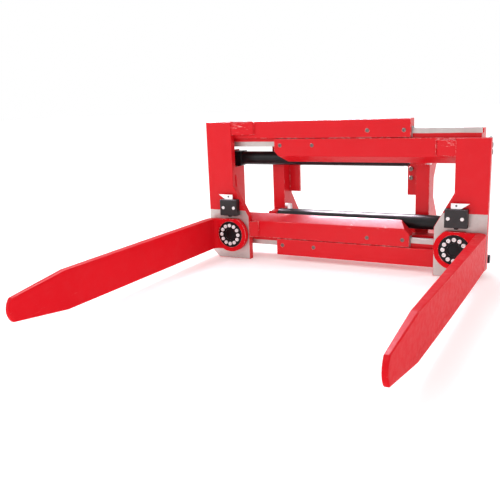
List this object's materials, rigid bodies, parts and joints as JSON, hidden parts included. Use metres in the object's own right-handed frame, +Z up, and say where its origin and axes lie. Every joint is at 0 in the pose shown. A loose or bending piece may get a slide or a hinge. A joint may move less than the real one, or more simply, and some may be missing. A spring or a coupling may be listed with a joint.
{
  "type": "sliding-arm fork clamp attachment",
  "caption": "Lift-truck fork clamp: two forks turn on pivots at the ends of hydraulically sliding arms, which ride T-rails on a hook-on frame.",
  "frame": {"origin": "on the seat plane that lies against the truck's carriage, on the centre line, half way up the carriage's upper bar", "axes": "+Y towards the truck, square to the seat plane; +X to the right as seen from in front of the forks; +Z up. The forks point along -Y"},
  "size_m": [1.238, 1.596, 0.6205],
  "materials": {
    "red_paint": "glossy",
    "black_paint": "satin",
    "black_steel": "satin, blackened",
    "zinc": "satin, plated",
    "grey_plastic": "matt",
    "chrome_rod": "polished",
    "plain_steel": "machined",
    "bronze": "machined"
  },
  "bodies": {
    "frame": {"centring_lug": "red_paint", "cylinder_pistons": "plain_steel", "cylinder_rods": "chrome_rod", "frame_screws": "black_steel", "hose_plates": "red_paint", "left_upright": "red_paint", "lower_crossbar": "red_paint", "lower_guide_rail": "red_paint", "lower_hooks": "red_paint", "rail_end_bearings": "grey_plastic", "right_upright": "red_paint", "rod_anchors": "red_paint", "rod_nuts": "zinc", "supply_unions": "zinc", "upper_crossbar": "red_paint", "upper_guide_rail": "red_paint", "upper_hooks": "red_paint"},
    "left_arm": {"left_barrel": "black_paint", "left_bearing_screws": "zinc", "left_column": "red_paint", "left_cylinder_bolts": "black_steel", "left_end_stops": "black_steel", "left_gland": "black_paint", "left_gussets": "red_paint", "left_lock_block": "black_steel", "left_lock_screws": "zinc", "left_lower_beam": "red_paint", "left_pivot_plate": "red_paint", "left_port_fittings": "zinc", "left_slide_bearings": "grey_plastic", "left_spindle": "black_steel", "left_spindle_screws": "zinc", "left_upper_beam": "red_paint"},
    "right_arm": {"right_barrel": "black_paint", "right_bearing_screws": "zinc", "right_column": "red_paint", "right_cylinder_bolts": "black_steel", "right_end_stops": "black_steel", "right_gland": "black_paint", "right_gussets": "red_paint", "right_lock_block": "black_steel", "right_lock_screws": "zinc", "right_lower_beam": "red_paint", "right_pivot_plate": "red_paint", "right_port_fittings": "zinc", "right_slide_bearings": "grey_plastic", "right_spindle": "black_steel", "right_spindle_screws": "zinc", "right_upper_beam": "red_paint"},
    "left_fork": {"left_fork": "red_paint", "left_pivot_bush": "bronze"},
    "right_fork": {"right_fork": "red_paint", "right_pivot_bush": "bronze"},
    "left_latch": {"left_latch_plate": "zinc", "left_latch_plunger": "chrome_rod", "left_latch_spring": "plain_steel"},
    "right_latch": {"right_latch_plate": "zinc", "right_latch_plunger": "chrome_rod", "right_latch_spring": "plain_steel"}
  },
  "joints": [
    {"name": "left_arm_slide", "type": "slide", "parent": "frame", "child": "left_arm", "axis": [-1, 0, 0], "range_m": [0, 0.4]},
    {"name": "right_arm_slide", "type": "slide", "parent": "frame", "child": "right_arm", "axis": [1, 0, 0], "range_m": [0, 0.4]},
    {"name": "left_fork_turn", "type": "hinge", "parent": "left_arm", "child": "left_fork", "pos_m": [-0.498, -0.326, -0.372], "axis": [0, 1, 0], "range_deg": [-90, 0]},
    {"name": "right_fork_turn", "type": "hinge", "parent": "right_arm", "child": "right_fork", "pos_m": [0.498, -0.326, -0.372], "axis": [0, 1, 0], "range_deg": [0, 90]},
    {"name": "left_latch_lift", "type": "slide", "parent": "left_arm", "child": "left_latch", "axis": [0, 0, 1], "range_m": [0, 0.012], "stiffness_N_per_m": 900, "springref_m": -0.006, "deforming": ["left_latch_spring"]},
    {"name": "right_latch_lift", "type": "slide", "parent": "right_arm", "child": "right_latch", "axis": [0, 0, 1], "range_m": [0, 0.012], "stiffness_N_per_m": 900, "springref_m": -0.006, "deforming": ["right_latch_spring"]}
  ]
}
